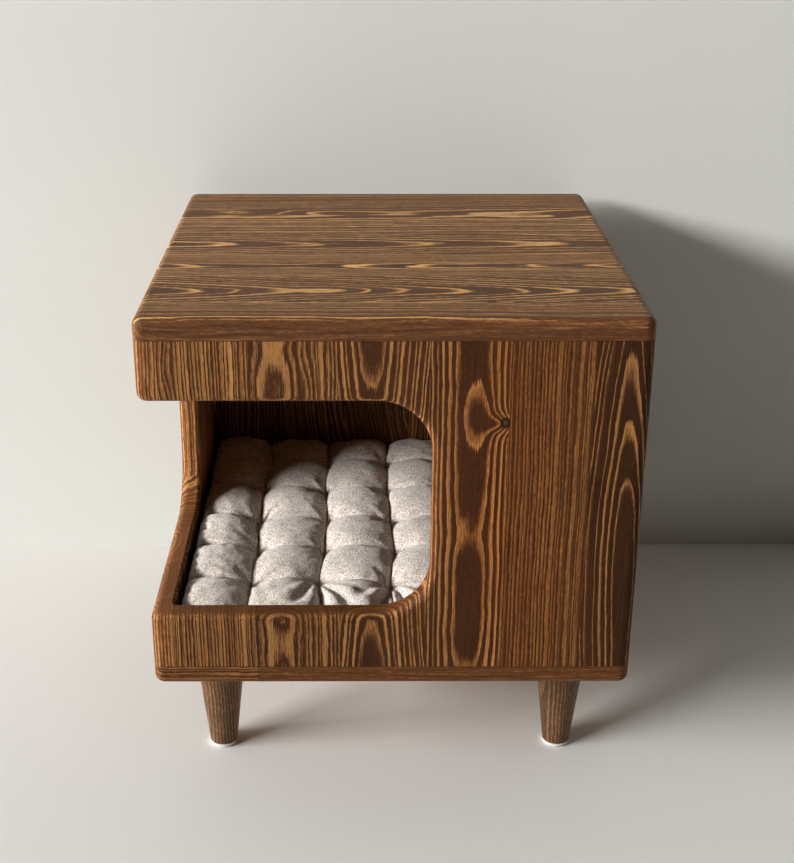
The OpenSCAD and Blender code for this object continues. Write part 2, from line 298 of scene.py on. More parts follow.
def pine_board(name, axes, lamellas, swells=(), knots=(), seams=(), drift=2.5, seed=0.0, tone=1.0,
               gloss=0.08, plain_edge=None, edge_shade_tint=(1.0, 1.0, 1.0), tint=(1.0, 1.0, 1.0),
               outer_tone=1.0, stains=()):
    """The material of one board.

    axes are the letters of the directions along and across the grain and through the board,
    the last with the side its outer face is on and that face's place in millimetres. swells are
    (strip, along, across, reach_along, reach_across, height) hills in the ring field of one
    strip, which draw closed loops and necks. seams are (letter, place) planes where a joint
    leaves a thin line. plain_edge is a place along the grain from which the edge faces are cut so
    that they show few rings. tint multiplies the colour all over, and edge_shade_tint that of the
    edge faces as well; on the top board they are painted sheen and painted shade. outer_tone is
    how bright the outer face is against the rest. stains are (along, across, reach_along,
    reach_across, colour) patches that took the stain differently.
    """
    material, graph = new_material(name)
    place = dict(zip("xyz", graph.split(graph.millimetres())))
    normal = dict(zip("xyz", graph.split(graph.coordinates("Normal"))))
    along_letter, across_letter, (depth_letter, side, face) = axes
    along, across = place[along_letter], place[across_letter]
    depth = graph.mul(graph.sub(face, place[depth_letter]), side)

    index = 0.0
    for lamella in lamellas[1:]:
        index = graph.add(index, graph.math("GREATER_THAN", across, lamella.start))
    (heart, heart_depth, pitch, taper, swing, turn, phase, lean, strip_tone, contrast, gold,
     ragged) = graph.lookup(index, [lamella.row for lamella in lamellas])
    own = graph.add(graph.mul(index, 61.7), seed)

    def in_face(along_scale, across_scale, detail):
        """Noise that is the same right through the board and different in each strip."""
        return graph.noise(graph.combine(graph.mul(along, along_scale),
                                         graph.mul(across, across_scale), own), detail=detail)

    def fibres(along_scale, across_scale, detail, roughness=0.5):
        """Solid noise drawn out along the grain."""
        return graph.noise(graph.combine(graph.mul(along, along_scale),
                                         graph.mul(across, across_scale),
                                         graph.mul(depth, across_scale)),
                           detail=detail, roughness=roughness)

    # the ring field: distance from the heart, with the tree's taper, bends and swells
    soft = in_face(0.008, 0.016, 1.0)
    fine = in_face(0.035, 0.11, 1.0)
    fibre = fibres(0.05, 1.3, 3.0, 0.6)
    aside = graph.add(graph.sub(across, heart), graph.mul(along, lean))
    behind = graph.add(depth, heart_depth)
    reach = graph.math("POWER", graph.add(graph.math("POWER", graph.math("ABSOLUTE", aside), 3.0),
                                          graph.math("POWER", behind, 3.0)), 1 / 3)
    wave = graph.math("COSINE", graph.mul(graph.sub(along, turn), 2 * math.pi / SWING_LENGTH))
    field = graph.add(
        graph.sub(reach, heart_depth),
        graph.mul(along, taper),
        graph.mul(wave, swing),
        graph.mul(graph.sub(soft, 0.5), 4.0 * drift),
        graph.mul(graph.sub(fine, 0.5), 1.6),
    )
    for strip, swell_along, swell_across, reach_along, reach_across, height in swells:
        hill = graph.hill((along, swell_along, reach_along), (across, swell_across, reach_across))
        in_strip = graph.math("COMPARE", index, float(strip), 0.5)
        field = graph.add(field, graph.mul(hill, height, in_strip))
    years = graph.add(graph.div(field, pitch), phase)
    uneven = graph.mul(graph.sub(graph.noise_along(graph.add(years, own), 0.6), 0.5),
                       graph.remap(graph.math("ABSOLUTE", years), 0.3, 2.5, 0.0, 1.0))
    years = graph.add(years, uneven, graph.mul(graph.sub(fibre, 0.5), ragged))
    year = graph.math("FLOOR", years)
    season = graph.math("FRACT", years)
    chance = graph.chance(graph.add(year, own))
    opening = graph.sub(0.95, graph.mul(gold, graph.remap(chance, 0.0, 1.0, 0.8, 1.3)))
    rise = graph.remap(season, graph.sub(opening, 0.14), graph.add(opening, 0.14), smooth=True)
    fall = graph.remap(season, 0.93, 1.0, 1.0, 0.0, smooth=True)
    late = graph.mul(rise, fall, graph.remap(chance, 0.0, 1.0, 0.55, 0.9))
    late = graph.add(late, graph.mul(graph.near(season, 0.90, 0.10), 0.22))

    # the colour of the rings and fibres
    streak = fibres(0.16, 1.5, 4.0, 0.7)
    cloud = in_face(0.006, 0.02, 3.0)
    pores = fibres(0.10, 3.4, 1.0)
    thread = fibres(0.018, 0.85, 2.0)
    end_grain = graph.remap(graph.math("ABSOLUTE", normal[along_letter]), 0.5, 1.0, smooth=True)
    calm = graph.mul(end_grain, 0.78)
    edge = graph.remap(graph.math("ABSOLUTE", normal[across_letter]), 0.45, 0.85, smooth=True)
    if plain_edge is not None:
        calm = graph.add(calm, graph.mul(edge, graph.math("GREATER_THAN", along, plain_edge), 0.8))
    lively = graph.math("MULTIPLY_ADD", graph.sub(late, 0.35),
                        graph.mul(contrast, graph.sub(1.0, calm)), 0.35, clamp=True)
    level = graph.add(lively, graph.mul(graph.sub(streak, 0.5), 1.3),
                      graph.mul(graph.sub(thread, 0.5), 0.8),
                      graph.remap(pores, 0.60, 0.72, 0.0, -0.20))
    colour = graph.ramp(level, [
        (0.0, EARLY_WOOD), (0.45, MIDDLE_WOOD), (1.0, LATE_WOOD),
    ])
    colour = graph.mix(graph.remap(cloud, 0.35, 0.7, 0.0, 0.35), colour, CLOUDED_WOOD)

    # what is darker or paler: strips, end grain (paler: painted light), the round-overs, the outer face,
    # stains, knots, seams
    turned = graph.largest(*(graph.math("ABSOLUTE", normal[letter]) for letter in "xyz"))
    # the round-overs are paler, by up to 45%, in patches along the streaks
    paler_rounding = graph.mul(graph.remap(turned, 0.72, 0.97, 1.0, 0.0), graph.remap(streak, 0.35, 0.65))
    outward = graph.remap(graph.mul(normal[depth_letter], side), 0.6, 0.95, smooth=True)
    # end grain is painted 10% paler: painted light, for the light the boards' cut ends catch
    fade = [strip_tone, tone, graph.remap(end_grain, 0.0, 1.0, 1.0, 1.1),
            graph.remap(paler_rounding, 0.0, 1.0, 1.0, 1.45), graph.remap(outward, 0.0, 1.0, 1.0, outer_tone)]
    # the edge faces take edge_shade_tint: on the top board, painted shade that keeps them darker than
    # the painted sheen of the face
    colour = graph.mix(edge, colour, graph.tinted(colour, edge_shade_tint))
    for stain_along, stain_across, reach_along, reach_across, stain in stains:
        patch = graph.hill((along, stain_along, reach_along), (across, stain_across, reach_across))
        colour = graph.mix(patch, colour, graph.tinted(colour, stain))
    for knot_along, knot_across, size in knots:
        spread = graph.math("SQRT", graph.add(
            graph.math("POWER", graph.div(graph.sub(along, knot_along), 1.25), 2.0),
            graph.math("POWER", graph.sub(across, knot_across), 2.0)))
        spread = graph.add(spread, graph.mul(graph.sub(fine, 0.5), 2.0))
        knot = graph.ramp(graph.div(spread, size), [
            (0.0, MIDDLE_WOOD), (0.6, KNOT_WOOD), (1.0, EARLY_WOOD),
        ])
        colour = graph.mix(graph.remap(spread, size, 0.75 * size, smooth=True), colour, knot)
    for letter, seam in seams:
        fade.append(graph.remap(graph.near(place[letter], seam, 0.7), 0.0, 1.0, 1.0, 0.35))
    # tint and the tones in fade scale the colour; on the top board they carry painted sheen, and on the
    # left board painted light
    colour = graph.scaled(graph.tinted(colour, tint), graph.mul(*fade))

    relief = graph.add(graph.mul(late, 0.6), graph.mul(streak, 0.8))
    roughness = graph.remap(late, 0.0, 1.0, 0.56, 0.42)
    graph.surface(colour, roughness, graph.bump(relief, 0.55, 0.4 * MM), Specular_IOR_Level=gloss)
    dress([name], material)


# ---------------------------------------------------------------- the six boards

STRIP = 76.0
STRIPS_IN_BOARD = 7
FACE = HALF / MM
WALL_SEAMS = [("z", CABIN_FLOOR_Z / MM), ("z", CABIN_TOP_Z / MM)]
FLOOR_SEAM = -126           # where a joint crosses the bottom board


def random_lamellas(seed, offset, flat_share=0.6, fineness=1.0):
    """Strips of one width whose hearts, ring widths and tones differ."""
    draw = random.Random(seed)
    strips = []
    for number in range(STRIPS_IN_BOARD):
        start = -HALF / MM + offset + (number - 1) * STRIP
        middle = start + STRIP / 2
        flat_sawn = draw.random() < flat_share
        if flat_sawn:
            heart = middle + draw.uniform(-22, 22)
        else:
            heart = middle + draw.choice((-1, 1)) * draw.uniform(55, 90)
        strips.append(Lamella(start, heart, draw.uniform(8, 32), draw.uniform(3.6, 5.2) * fineness,
                              taper=draw.choice((-1, 1)) * draw.uniform(0.02, 0.10),
                              swing=draw.uniform(-6, 6), turn=draw.uniform(-200, 400),
                              phase=draw.random(), lean=draw.uniform(-0.02, 0.02),
                              tone=draw.uniform(0.85, 1.15), contrast=draw.uniform(0.8, 1.05)))
    return strips


def add_front_board():
    strips = [
        Lamella(-300, -290, 20, 3.3, taper=0.01, phase=0.3, tone=1.28, gold=0.55),
        Lamella(-126, -104, 14, 4.4, phase=0.25, tone=1.2, gold=0.46, ragged=1.3),
        Lamella(-49, -19, 12, 4.6, swing=7.4, turn=286, phase=-0.52, tone=1.22, gold=0.36),
        Lamella(31, 69, 18, 4.2, phase=0.25, tone=1.12, gold=0.38, ragged=0.4),
        Lamella(101, 300, 30, 3.5, phase=0.4, tone=0.96, contrast=0.62, gold=0.46),
        Lamella(175, 220, 6, 5.6, taper=0.062, swing=6.93, phase=-2.45, lean=0.0355, tone=0.88,
                gold=0.24, ragged=0.3),
    ]
    swells = [
        (0, 425, -200, 30, 9, 5.0),
        (1, 180, -102, 14, 16, -2.2), (1, 120, -103, 15, 9, -2.0),
        (1, 442, -104, 17, 30, 2.7), (1, 392, -72, 38, 9, -5.0),
        (3, 262, 69, 22, 26, 1.5), (3, 382, 76, 27, 17, -3.7), (3, 373, 95, 9, 12, -9.0),
        (3, 120, 72, 24, 30, 2.0),
    ]
    pine_board("front_panel", ("z", "x", ("y", -1, -FACE)), strips, swells,
               knots=[(374, 98, 4.5)], seams=WALL_SEAMS + [("x", -INNER / MM)], drift=1.2, seed=3.0,
               stains=[(140, -110, 75, 170, (0.76, 0.76, 0.76)),
                       (280, 112, 300, 62, (1.16, 0.96, 0.76))])


def add_top_board():
    strips = [
        Lamella(-300, -270, 20, 3.6, taper=0.01, phase=0.3, contrast=0.9, gold=0.32),
        Lamella(-178, -146, 9, 6.2, taper=0.125, phase=0.6, contrast=1.2, gold=0.20),
        Lamella(-102, -68, 8, 2.9, swing=5.0, turn=-100, phase=-0.40, contrast=1.2, gold=0.28,
                ragged=0.3),
        Lamella(-28, 8, 12, 5.6, taper=0.05, phase=0.5, contrast=1.2, gold=0.26),
        Lamella(46, 130, 30, 4.0, taper=0.02, phase=0.1, contrast=1.0, gold=0.30),
        Lamella(122, 126, 24, 4.6, taper=-0.03, phase=0.7, contrast=0.8, gold=0.25),
        Lamella(198, 160, 26, 4.2, phase=0.2, contrast=0.9, gold=0.35),
    ]
    swells = [(5, -160, 133, 40, 12, 7.0), (5, -60, 130, 45, 14, -3.0), (0, 118, -187, 35, 10, 7.0),
              (1, -50, -146, 32, 16, -7.0)]
    # tone 1.92 and the greyer tint paint the top face's sheen into its colour: the pale wall's
    # reflection, painted as a paler, greyer top, with the real gloss kept low at 0.12. edge_shade_tint
    # is painted shade that keeps most of it off the front and back edge faces.
    pine_board("top_panel", ("x", "y", ("z", 1, TOP_Z / MM)), strips, swells,
               knots=[(87, -179, 4.0)], drift=2.0, seed=11.0, tone=1.92, gloss=0.12, plain_edge=-1000,
               edge_shade_tint=(0.65, 0.59, 0.62), tint=(1.0, 1.15, 1.22))


def add_plain_boards():
    bottom = random_lamellas(5, 50)
    bottom[0] = Lamella(-300, -215, 9, 3.2, taper=0.006, tone=1.15, contrast=0.7, gold=0.5)
    pine_board("bottom_panel", ("x", "y", ("z", -1, BASE_Z / MM)), bottom,
               seams=[("x", FLOOR_SEAM)], seed=23.0, drift=0.8, plain_edge=FLOOR_SEAM)
    left = random_lamellas(31, 24)
    left[0] = Lamella(-300, -222, 24, 3.2, taper=0.004, tone=1.0, contrast=0.7, gold=0.5)
    left[4] = Lamella(left[4].start, 44, 25, 3.4, taper=0.01, tone=1.1, contrast=0.7, gold=0.5)
    # tone 1.65 is painted light: the whole left board is made paler for the window light its cut edges
    # catch round the entrance, which pales its inner face too; outer_tone 0.62 takes it back off the
    # outer face
    pine_board("left_panel", ("z", "y", ("x", -1, -FACE)), left, seams=WALL_SEAMS, seed=31.0,
               tone=1.65, outer_tone=0.62)
    pine_board("right_panel", ("z", "y", ("x", 1, FACE)), random_lamellas(47, 24),
               seams=WALL_SEAMS, seed=47.0)
    pine_board("back_panel", ("z", "x", ("y", 1, FACE)), random_lamellas(59, 24, 0.0, 0.7),
               seams=WALL_SEAMS, seed=59.0)


add_front_board()
add_top_board()
add_plain_boards()

# ---------------------------------------------------------------- legs and hardware


def add_leg_wood():
    material, graph = new_material("leg_wood")
    at = graph.coordinates()
    x, y, z = graph.split(at)
    leg_low, leg_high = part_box("leg_front_right")
    leg_at = (leg_low.x + leg_high.x) / 2
    side = graph.add(graph.math("SIGN", x), graph.mul(graph.math("SIGN", y), 2.0))
    across = graph.sub(x, graph.mul(graph.math("SIGN", x), leg_at))
    bend = graph.noise(graph.combine(graph.mul(x, 18.0), graph.mul(y, 18.0), graph.mul(z, 9.0)),
                       detail=2.0)
    field = graph.add(graph.div(across, 3.4 * MM), graph.div(y, 9 * MM), graph.mul(z, 14.0),
                      graph.mul(bend, 3.0), side)
    season = graph.math("FRACT", field)
    late = graph.mul(graph.remap(season, 0.35, 0.85, smooth=True),
                     graph.remap(season, 0.90, 1.0, 1.0, 0.0, smooth=True))
    pore = graph.noise(graph.combine(graph.mul(x, 1100.0), graph.mul(y, 1100.0), graph.mul(z, 110.0)),
                       detail=3.0, roughness=0.7)
    cloud = graph.noise(at, scale=26.0, detail=3.0)
    level = graph.add(graph.mul(late, 0.30), graph.mul(graph.remap(pore, 0.3, 0.7), 0.55),
                      graph.mul(cloud, 0.3))
    colour = graph.ramp(level, [(0.0, (0.030, 0.013, 0.006)), (0.5, (0.100, 0.047, 0.021)),
                                (1.0, (0.330, 0.185, 0.095))])
    graph.surface(colour, graph.remap(pore, 0.3, 0.7, 0.50, 0.38),
                  graph.bump(pore, 0.35, 0.2 * MM), Specular_IOR_Level=0.18)
    dress(["leg_" + corner for corner in CORNERS], material)


def add_glide_plastic():
    material, graph = new_material("glide_plastic")
    at = graph.coordinates()
    scuff = graph.noise(at, scale=420.0, detail=3.0)
    tint = graph.noise(at, scale=35.0, detail=2.0)
    colour = graph.mix(tint, (0.68, 0.67, 0.645), (0.76, 0.76, 0.74))
    graph.surface(colour, graph.remap(scuff, 0.3, 0.7, 0.30, 0.45), graph.bump(scuff, 0.15, 0.1 * MM),
                  Subsurface_Weight=0.08, Subsurface_Scale=0.002)
    dress(["glide_" + corner for corner in CORNERS], material)


def add_zinc():
    material, graph = new_material("zinc_steel")
    at = graph.coordinates()
    spangle = graph.noise(at, scale=700.0, detail=3.0)
    tint = graph.noise(at, scale=120.0, detail=2.0)
    colour = graph.mix(tint, (0.50, 0.51, 0.53), (0.66, 0.66, 0.67))
    graph.surface(colour, graph.remap(spangle, 0.3, 0.7, 0.28, 0.42),
                  graph.bump(spangle, 0.2, 0.05 * MM), Metallic=1.0)
    names = []
    for corner in CORNERS:
        names += ["hanger_bolt_" + corner, "insert_" + corner, "glide_nail_" + corner]
    dress(names, material)


def add_dowel_beech():
    material, graph = new_material("dowel_beech")
    at = graph.coordinates()
    fleck = graph.noise(at, scale=600.0, detail=3.0)
    cloud = graph.noise(at, scale=60.0, detail=2.0)
    colour = graph.ramp(graph.add(graph.mul(fleck, 0.6), graph.mul(cloud, 0.4)),
                        [(0.3, (0.42, 0.25, 0.13)), (0.7, (0.60, 0.41, 0.24))])
    graph.surface(colour, graph.remap(fleck, 0.3, 0.7, 0.65, 0.5), graph.bump(fleck, 0.3, 0.1 * MM))
    dress(["dowels_top", "dowels_bottom", "dowels_front_left", "dowels_back_left",
           "dowels_back_right", "dowels_front_right"], material)


add_leg_wood()
add_glide_plastic()
add_zinc()
add_dowel_beech()

# ---------------------------------------------------------------- cushion

cover_low, cover_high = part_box("cushion_bottom_cover")
CUSHION_HALF = cover_high.x
CUSHION_BASE = cover_low.z
SEAM_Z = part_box("cushion_top_cover")[0].z
CROWN_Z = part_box("cushion_top_cover")[1].z
TUFT_X = (-138.5, -67.5, 2.0, 72.0, 142.0)
TUFT_Y = (-136.0, -68.0, 1.0, 72.0, 142.0)
CELL_STEPS = 23
SIDE_LINES = (0.001, 0.005, 0.014, 0.032, 0.062)
RIM = 8 * MM
CORNER_R = 24 * MM
GROOVE_FLOOR = 3 * MM
GROOVE_RISE = 9 * MM
ROOM_TO_SWELL = 8 * MM      # left under the crown for the cloth simulation
SCALLOP = 2.2 * MM
SEAM_INSET = 3.2 * MM
EXTRA_STUFFING = 4 * MM
UNEVENNESS = 0.35 * MM      # of the filling, from point to point
TUFT_DRAG = 30 * MM         # how far round a tuft that is out of line the cloth is pulled
CUSHION_SEED = 7
SETTLING_FRAMES = 24
FARTHEST_MOVE = 9 * MM      # that the simulation may make of a point
CLOTH = {
    "quality": 6, "mass": 0.25, "tension_stiffness": 12, "compression_stiffness": 12,
    "shear_stiffness": 4, "bending_stiffness": 0.15, "air_damping": 2, "use_pressure": True,
    "uniform_pressure_force": 4.0, "vertex_group_mass": "held", "pin_stiffness": 1.0,
    "vertex_group_shrink": "gathered", "shrink_min": -0.06, "shrink_max": 0.02,
}
SHOULDER = 14 * MM          # above the seam, where the settled sides are widest
CROWN_ROOM = 4 * MM
WEAVE_PITCH = 0.95          # in millimetres, like the rest of the weave
THREAD_R = 0.55 * MM
STITCH_PITCH = 7 * MM


def cell_lines(tufts, bunched):
    """Grid places across the cushion, closer together at the grooves, and how far each is into
    its cell: 0 and 1 at the tufts, 0.5 in the middle. SIDE_LINES are more places close to the
    rim, as shares of it, which become the rows of points up the sides."""
    edges = [-CUSHION_HALF, *(tuft * MM for tuft in tufts), CUSHION_HALF]
    places, shares = [], []
    for begin, end in zip(edges, edges[1:]):
        for step in range(CELL_STEPS):
            even = step / CELL_STEPS
            round_ = (1 - math.cos(math.pi * even)) / 2
            share = even + (round_ - even) * bunched
            places.append(begin + (end - begin) * share)
            shares.append(share)
    side = [-CUSHION_HALF + RIM * line for line in SIDE_LINES]
    places[1:1] = side
    shares[1:1] = [0.0] * len(side)
    places += [-place for place in reversed(side)] + [edges[-1]]
    return np.array(places), np.array(shares + [1.0] * (len(side) + 1))


def gathers(x, y, draw):
    """Folds that fan out from each tuft. They are deepest from the outer tufts to the rim, where
    the cover is gathered, and most of all at the front."""
    folds = np.zeros_like(x)
    rim_sides = ((1, TUFT_Y[0], -math.pi / 2, 4.6), (1, TUFT_Y[-1], math.pi / 2, 1.6),
                 (0, TUFT_X[0], math.pi, 0.6), (0, TUFT_X[-1], 0.0, 1.0))
    for tuft in ((tuft_x, tuft_y) for tuft_x in TUFT_X for tuft_y in TUFT_Y):
        away_x, away_y = x - tuft[0] * MM, y - tuft[1] * MM
        reach = np.hypot(away_x, away_y)
        angle = np.arctan2(away_y, away_x)
        bend = draw.uniform(0, 6.28)
        share = reach / (11 * MM)
        inner = draw.uniform(0.4, 1.2) * MM * share * np.exp(1 - share)
        folds += inner * np.sin(draw.integers(4, 8) * angle + bend + share * draw.uniform(-0.6, 0.6))
        for axis, outermost, outward, depth in rim_sides:
            if tuft[axis] != outermost:
                continue
            aside = (angle - outward + math.pi) % (2 * math.pi) - math.pi
            fan = np.exp(-(aside / 0.75) ** 2) * (1 - np.exp(-(reach / (20 * MM)) ** 2))
            fan *= np.clip((75 * MM - reach) / (25 * MM), 0, 1)
            ripples, begin = draw.uniform(8, 17), draw.uniform(0, 6.28)
            wave = np.sin(ripples * aside + begin + 0.8 * np.sin(share + bend))
            folds += depth * draw.uniform(0.3, 1.3) * MM * fan * (wave - 0.3 * wave * wave)
    return folds


def cushion_grid():
    """The top and bottom sheets before they settle, as points[row][column]."""
    xs, across = cell_lines(TUFT_X, 0.75)
    ys, along = cell_lines(TUFT_Y, 0.45)
    x, y = np.meshgrid(xs, ys)
    u, v = np.meshgrid(across, along)
    draw = np.random.default_rng(CUSHION_SEED)
    tube = np.clip(np.sin(math.pi * u), 0, 1) ** 0.36
    row = np.clip(np.sin(math.pi * v), 0, 1) ** 0.42
    scallop_x, scallop_y = SCALLOP * (1 - row), SCALLOP * (1 - tube)
    # the outermost cells have no groove at the rim
    tube = np.where(abs(x) > abs(TUFT_X[0]) * MM + 28 * MM, np.maximum(tube, 0.97), tube)
    row = np.where(abs(y) > abs(TUFT_Y[0]) * MM + 24 * MM, np.maximum(row, 0.97), row)
    puff = tube * (0.60 + 0.40 * row)
    edge_x = np.clip((CUSHION_HALF - abs(x)) / RIM, 0, 1)
    edge_y = np.clip((CUSHION_HALF - abs(y)) / RIM, 0, 1)
    rim = np.cbrt(np.clip(1 - (1 - edge_x) ** 3, 0, 1)) * np.cbrt(np.clip(1 - (1 - edge_y) ** 3, 0, 1))
    groove = GROOVE_FLOOR + GROOVE_RISE * row
    lift = CROWN_Z - SEAM_Z - ROOM_TO_SWELL
    top = SEAM_Z + rim * (groove + (lift - groove) * puff)
    # the side where the light comes in is stuffed full
    full = np.clip((-x - 130 * MM) / (40 * MM), 0, 1)
    top += rim * (gathers(x, y, draw) + EXTRA_STUFFING * full * puff)
    top += draw.normal(0, UNEVENNESS, x.shape) * rim
    depth = SEAM_Z - CUSHION_BASE
    bottom = SEAM_Z - rim * depth * (0.35 + 0.65 * np.minimum(1, 1.6 * tube * row))
    # each tuft is a little out of line, and takes the cloth round it along
    shift_x, shift_y = np.zeros_like(x), np.zeros_like(y)
    for tuft_x in TUFT_X:
        for tuft_y in TUFT_Y:
            near = np.exp(-((x - tuft_x * MM) ** 2 + (y - tuft_y * MM) ** 2) / TUFT_DRAG ** 2)
            shift_x += near * draw.uniform(-4.5, 4.5) * MM
            shift_y += near * draw.uniform(-4.0, 4.0) * MM
    x, y = x + shift_x * rim, y + shift_y * rim
    # the sides draw in at the seam, where the cover is pleated, and at each row of tufts
    pleat = draw.uniform(0.6, 1.0) * MM
    by_seam = np.exp(-(rim / 0.32) ** 2)
    for own, other, edge, scallop in ((x, y, edge_x, scallop_x), (y, x, edge_y, scallop_y)):
        wave = np.sin(other / (1.5 * MM) + 2.2 * np.sin(other / (17 * MM)))
        inset = scallop + SEAM_INSET * by_seam + pleat * wave * np.exp(-(rim / 0.6) ** 2)
        own -= np.sign(own) * inset * (1 - edge) ** 2
    # the corners are round
    past_x = np.maximum(abs(x) - (CUSHION_HALF - CORNER_R), 0)
    past_y = np.maximum(abs(y) - (CUSHION_HALF - CORNER_R), 0)
    in_corner = (past_x > 0) & (past_y > 0)
    round_off = np.maximum(past_x, past_y) / np.maximum(np.hypot(past_x, past_y), 1e-9)
    shrink = np.where(in_corner, round_off, 1.0)
    x = np.sign(x) * (abs(x) - past_x + past_x * shrink)
    y = np.sign(y) * (abs(y) - past_y + past_y * shrink)
    return np.stack([x, y, top], -1), np.stack([x, y, bottom], -1)


def cushion_mesh():
    """A closed sheet mesh. Returns it with the indices of the tuft points and the seam points."""
    top, bottom = cushion_grid()
    rows, columns = top.shape[:2]
    number = {}
    points = []

    def point(sheet, r, c):
        on_rim = r in (0, rows - 1) or c in (0, columns - 1)
        key = ("seam" if on_rim else sheet, r, c)
        if key not in number:
            number[key] = len(points)
            points.append((top if on_rim or sheet == "top" else bottom)[r, c].tolist())
        return number[key]

    faces = []
    for r in range(rows - 1):
        for c in range(columns - 1):
            faces.append([point("top", r, c), point("top", r, c + 1),
                          point("top", r + 1, c + 1), point("top", r + 1, c)])
            faces.append([point("bottom", r, c), point("bottom", r + 1, c),
                          point("bottom", r + 1, c + 1), point("bottom", r, c + 1)])
    mesh = bpy.data.meshes.new("cushion")
    mesh.from_pydata(points, [], faces)
    mesh.update()
    tufts = [(number[("top", r, c)], number[("bottom", r, c)])
             for r in range(CELL_STEPS + len(SIDE_LINES), rows - CELL_STEPS, CELL_STEPS)
             for c in range(CELL_STEPS + len(SIDE_LINES), columns - CELL_STEPS, CELL_STEPS)]
    assert len(tufts) == len(TUFT_X) * len(TUFT_Y)
    seam = [index for (sheet, _, _), index in number.items() if sheet == "seam"]
    return mesh, tufts, seam


def read_points(mesh):
    at = np.empty(len(mesh.vertices) * 3)
    mesh.vertices.foreach_get("co", at)
    return at.reshape(-1, 3)


def write_points(mesh, at):
    mesh.vertices.foreach_set("co", at.ravel())
    mesh.update()


def settle(cushion, tufts, seam):
    """Blows the sheet up by cloth simulation round its tufts, which stay where they are."""
    start = read_points(cushion.data)
    held = cushion.vertex_groups.new(name="held")
    held.add([index for pair in tufts for index in pair], 1.0, "REPLACE")
    gathered = cushion.vertex_groups.new(name="gathered")
    gathered.add(seam, 1.0, "REPLACE")
    cloth = cushion.modifiers.new("cloth", "CLOTH")
    for name, value in CLOTH.items():
        setattr(cloth.settings, name, value)
    cloth.settings.effector_weights.gravity = 0
    cloth.point_cache.frame_start = 1
    cloth.point_cache.frame_end = SETTLING_FRAMES
    for step in range(1, SETTLING_FRAMES + 1):
        scene.frame_set(step)
    view = bpy.context.evaluated_depsgraph_get()
    move = read_points(cushion.evaluated_get(view).to_mesh()) - start
    cushion.evaluated_get(view).to_mesh_clear()
    cushion.modifiers.remove(cloth)
    scene.frame_set(1)
    length = np.linalg.norm(move, axis=1, keepdims=True)
    move *= np.tanh(length / FARTHEST_MOVE) * FARTHEST_MOVE / np.maximum(length, 1e-9)
    write_points(cushion.data, start + move)


def fit_in_cabin(cushion):
    """The cushion fills the cabin's floor, lies flat on it, and doesn't pass its own space."""
    at = read_points(cushion.data)
    shoulder = at[at[:, 2] > SEAM_Z + SHOULDER]
    for axis in (0, 1):
        least, most = np.percentile(shoulder[:, axis], (0.5, 99.5))
        at[:, axis] = -CUSHION_HALF + (at[:, axis] - least) * 2 * CUSHION_HALF / (most - least)
        at[:, axis] = np.clip(at[:, axis], -CUSHION_HALF, CUSHION_HALF)
    at[:, 2] = np.clip(at[:, 2], CUSHION_BASE, CROWN_Z + CROWN_ROOM)
    write_points(cushion.data, at)


def weave(graph, a, b, pitch):
    """The height of a plain weave whose threads run along a and b."""
    turn = 2 * math.pi / pitch
    product = graph.mul(graph.math("SINE", graph.mul(a, turn)), graph.math("SINE", graph.mul(b, turn)))
    return graph.math("MULTIPLY_ADD", product, 0.5, 0.5)


def add_linen():
    """Greige melange: pale and dark fibres spun together, with slubs along the warp."""
    material, graph = new_material("linen")
    at = graph.millimetres()
    x, y, z = graph.split(at)
    facing = [graph.math("POWER", graph.math("ABSOLUTE", part), 4.0)
              for part in graph.split(graph.coordinates("Normal"))]
    total = graph.add(*facing)
    threads = graph.add(*(
        graph.mul(graph.div(share, total), weave(graph, a, b, WEAVE_PITCH))
        for share, (a, b) in zip(facing, ((y, z), (x, z), (x, y)))))
    slub = graph.noise(graph.combine(graph.mul(x, 1.1), graph.mul(y, 0.38), graph.mul(z, 0.8)),
                       detail=3.0, roughness=0.75)
    fleck = graph.noise(at, roughness=0.8)
    cloud = graph.noise(at, scale=0.03)
    level = graph.add(graph.mul(graph.sub(slub, 0.5), 4.6), graph.mul(graph.sub(fleck, 0.5), 4.2),
                      graph.mul(graph.sub(threads, 0.5), 0.25),
                      graph.mul(graph.sub(cloud, 0.5), 0.15), 0.5)
    colour = graph.ramp(level, [(0.0, (0.30, 0.255, 0.222)), (0.45, (0.70, 0.607, 0.542)),
                                (1.0, (0.96, 0.88, 0.82))])
    height = graph.add(graph.mul(threads, 0.6), graph.mul(slub, 0.7), graph.mul(fleck, 0.5))
    graph.surface(colour, graph.remap(fleck, 0.3, 0.7, 0.98, 0.86), graph.bump(height, 0.6, 0.35 * MM),
                  Specular_IOR_Level=0.15, Sheen_Weight=0.25, Sheen_Roughness=0.5)
    return material


def add_thread_material():
    material, graph = new_material("tuft_thread")
    at = graph.coordinates()
    ply = graph.noise(at, scale=2400.0, detail=2.0)
    tint = graph.noise(at, scale=300.0, detail=2.0)
    colour = graph.mix(tint, (0.34, 0.30, 0.26), (0.48, 0.43, 0.38))
    graph.surface(colour, graph.remap(ply, 0.3, 0.7, 0.85, 0.6), graph.bump(ply, 0.5, 0.2 * MM))
    return material


def add_threads(name, strands, material):
    """Short pieces of thread, each a list of points."""
    curve = bpy.data.curves.new(name, "CURVE")
    curve.dimensions = "3D"
    curve.bevel_depth = THREAD_R
    curve.bevel_resolution = 1
    curve.use_fill_caps = True
    for strand in strands:
        spline = curve.splines.new("NURBS")
        spline.points.add(len(strand) - 1)
        spline.use_endpoint_u = True
        spline.order_u = 3
        for knot, at in zip(spline.points, strand):
            knot.co = (*at, 1.0)
    curve.materials.append(material)
    piece = bpy.data.objects.new(name, curve)
    scene.collection.objects.link(piece)
    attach(piece, "cushion")


def stitch(middle, across, up):
    """One stitch over the cloth: down, over and down again."""
    return [middle - across - up, middle - across + up * 0.6, middle + up,
            middle + across + up * 0.6, middle + across - up]


